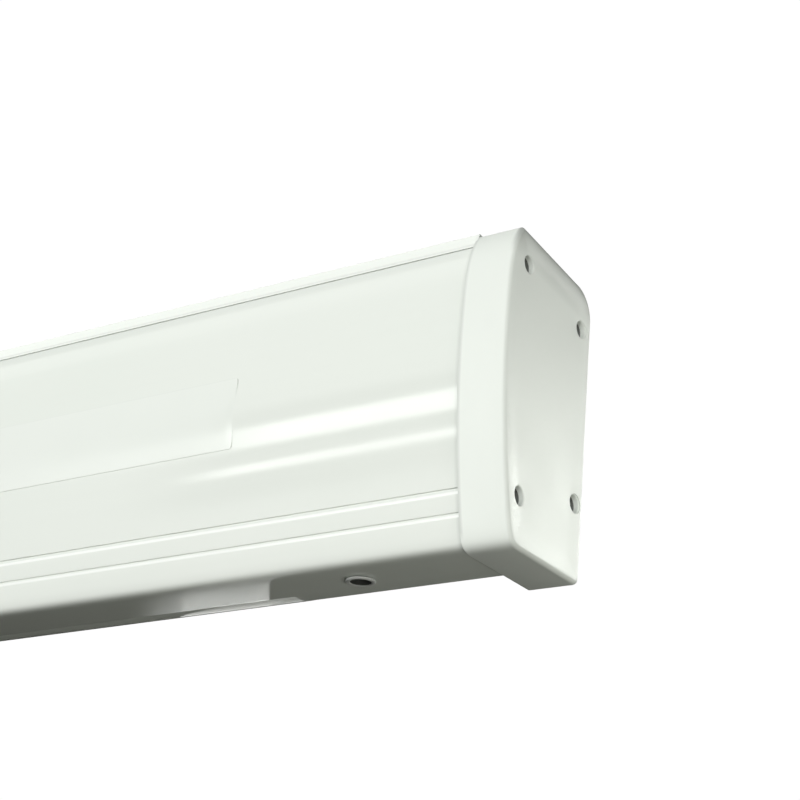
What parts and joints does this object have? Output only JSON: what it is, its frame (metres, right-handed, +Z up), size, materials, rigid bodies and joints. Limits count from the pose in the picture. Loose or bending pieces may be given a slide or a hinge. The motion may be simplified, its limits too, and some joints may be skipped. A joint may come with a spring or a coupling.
{
  "type": "motorized projector screen",
  "caption": "Motorized roll-down projection screen: bowed extruded case with end caps, tubular motor, roller with fabric, weight bar and two sliding wall brackets.",
  "frame": {"origin": "on the flat back of the case, at the middle of its length and of the end caps' height", "axes": "+X along the case towards the motor end (the right-hand end seen from the room), +Y out of the back towards the wall, +Z up"},
  "size_m": [1.802, 0.0521, 0.1431],
  "materials": {
    "case_white": "white powder coat, semi-gloss",
    "cap_white": "moulded, satin",
    "zinc_steel": "bright zinc plated sheet",
    "bright_steel": "plated",
    "mill_aluminium": "mill finish, drawn",
    "black_plastic": "moulded, fine texture",
    "grey_plastic": "moulded",
    "motor_steel": "black painted tube",
    "adjuster_yellow": "moulded",
    "board_green": "solder mask",
    "screen_fabric": "matt white front, black borders and back",
    "label_film": "clear satin film, blank"
  },
  "bodies": {
    "case": {"top_and_back_profile": "case_white", "front_cover_profile": "case_white", "access_hole_grommet": "grey_plastic", "end_cap_right": "cap_white", "end_cap_left": "cap_white", "cap_screw_right_upper_front": "bright_steel", "cap_screw_right_upper_back": "bright_steel", "cap_screw_right_lower_front": "bright_steel", "cap_screw_right_lower_back": "bright_steel", "cap_screw_left_upper_front": "bright_steel", "cap_screw_left_upper_back": "bright_steel", "cap_screw_left_lower_front": "bright_steel", "cap_screw_left_lower_back": "bright_steel", "cable_gland_body": "grey_plastic", "cable_gland_dome_nut": "grey_plastic", "cable_gland_lock_nut": "grey_plastic", "motor_bracket": "zinc_steel", "idler_bracket": "zinc_steel", "bracket_screw_right_lower": "bright_steel", "bracket_screw_right_upper": "bright_steel", "bracket_screw_left_lower": "bright_steel", "bracket_screw_left_upper": "bright_steel", "motor_head": "black_plastic", "motor_body": "motor_steel", "motor_retaining_clip": "bright_steel", "idler_bush": "grey_plastic", "receiver_box_base": "black_plastic", "receiver_box_lid": "black_plastic", "receiver_circuit_board": "board_green", "terminal_block": "grey_plastic", "front_label_blank": "label_film"},
    "roller": {"roller_tube": "mill_aluminium", "limit_crown": "black_plastic", "drive_wheel": "black_plastic", "motor_output_shaft": "bright_steel", "drive_wheel_screw_top": "bright_steel", "drive_wheel_screw_bottom": "bright_steel", "roller_end_plug": "black_plastic", "idler_pin": "bright_steel", "fabric_roll": "screen_fabric"},
    "screen": {"weight_bar": "case_white", "weight_bar_end_right": "cap_white", "weight_bar_end_left": "cap_white", "hem_rod": "bright_steel", "screen_fabric_drop": "screen_fabric"},
    "lower_adjuster": {"lower_limit_adjuster": "adjuster_yellow"},
    "upper_adjuster": {"upper_limit_adjuster": "adjuster_yellow"},
    "mount_right": {"wall_bracket_right": "zinc_steel", "bracket_t_bolt_right": "bright_steel", "bracket_washer_right": "bright_steel", "bracket_nut_right": "bright_steel"},
    "mount_left": {"wall_bracket_left": "zinc_steel", "bracket_t_bolt_left": "bright_steel", "bracket_washer_left": "bright_steel", "bracket_nut_left": "bright_steel"}
  },
  "joints": [
    {"name": "screen_drop", "type": "slide", "parent": "case", "child": "screen", "axis": [0, 0, -1], "range_m": [0, 1.05], "deforming": ["screen_fabric_drop"]},
    {"name": "roller_spin", "type": "hinge", "parent": "case", "child": "roller", "pos_m": [0, -0.0253, 0.014], "axis": [-1, 0, 0], "range_deg": [0, 3370]},
    {"name": "lower_adjuster_turn", "type": "hinge", "parent": "case", "child": "lower_adjuster", "pos_m": [0.834, -0.0253, -0.0026], "axis": [0, 0, 1], "range_deg": [-1800, 1800]},
    {"name": "upper_adjuster_turn", "type": "hinge", "parent": "case", "child": "upper_adjuster", "pos_m": [0.834, -0.0143, 0.001], "axis": [0, 0, 1], "range_deg": [-1800, 1800]},
    {"name": "bracket_right_slide", "type": "slide", "parent": "case", "child": "mount_right", "axis": [1, 0, 0], "range_m": [-0.25, 0.28]},
    {"name": "bracket_left_slide", "type": "slide", "parent": "case", "child": "mount_left", "axis": [-1, 0, 0], "range_m": [-0.25, 0.28]}
  ],
  "couplings": [
    {"joint": "roller_spin", "follows": "screen_drop", "rad_per_m": 56}
  ]
}
